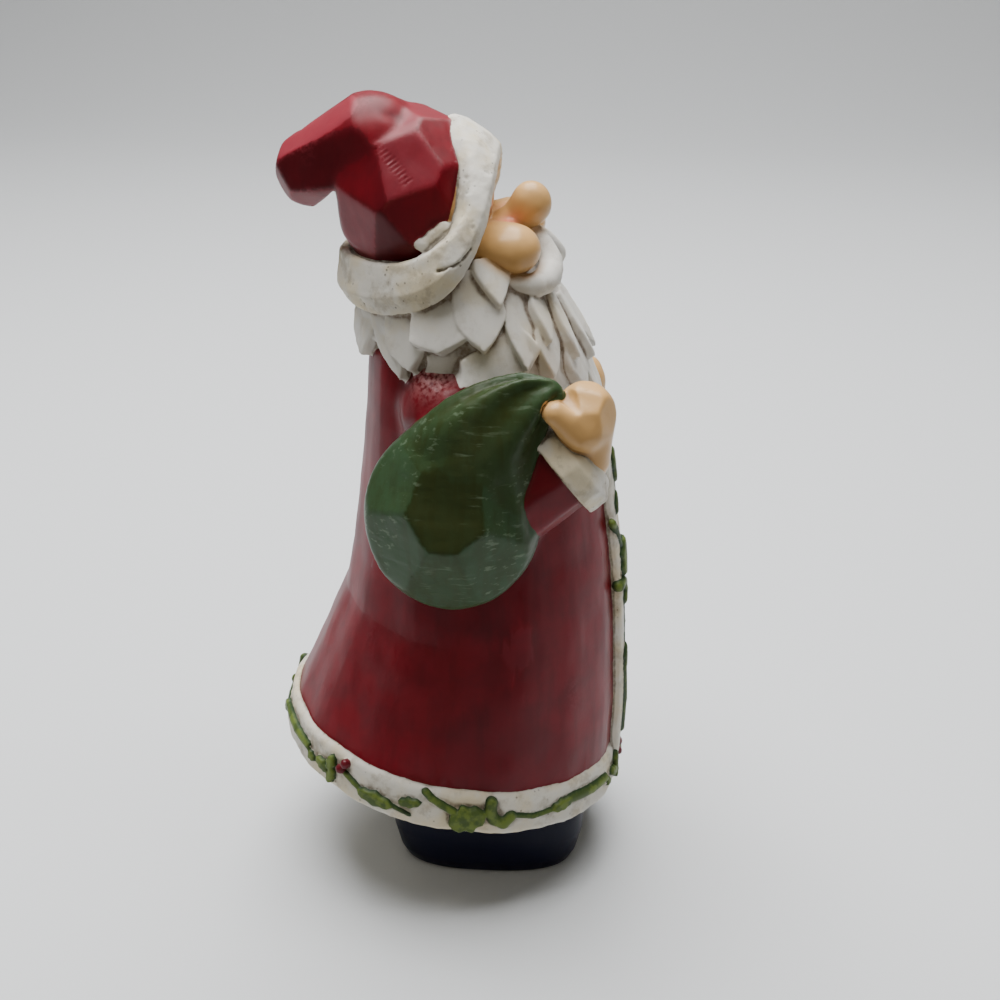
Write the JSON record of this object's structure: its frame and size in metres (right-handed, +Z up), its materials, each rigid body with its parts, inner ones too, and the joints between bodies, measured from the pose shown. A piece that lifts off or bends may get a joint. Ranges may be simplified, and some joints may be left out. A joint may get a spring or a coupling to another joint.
{
  "type": "santa figurine",
  "caption": "Standing Santa figurine in a long fur-trimmed coat, looking up, with a sack over the right arm. Cast in one piece of resin in a knife-carved style and painted.",
  "frame": {"origin": "middle of the flat underside, between the two boots", "axes": "+Z up, the figure faces -Y, and its left side is +X"},
  "size_m": [0.0698, 0.0684, 0.1496],
  "materials": {
    "painted_resin": "hand-painted resin: glossy deep red coat and hat, glossy green sack and tan skin, matt off-white fur with brown antiquing, dark navy boots"
  },
  "bodies": {
    "root": {"santa_figurine": "painted_resin"}
  },
  "joints": []
}
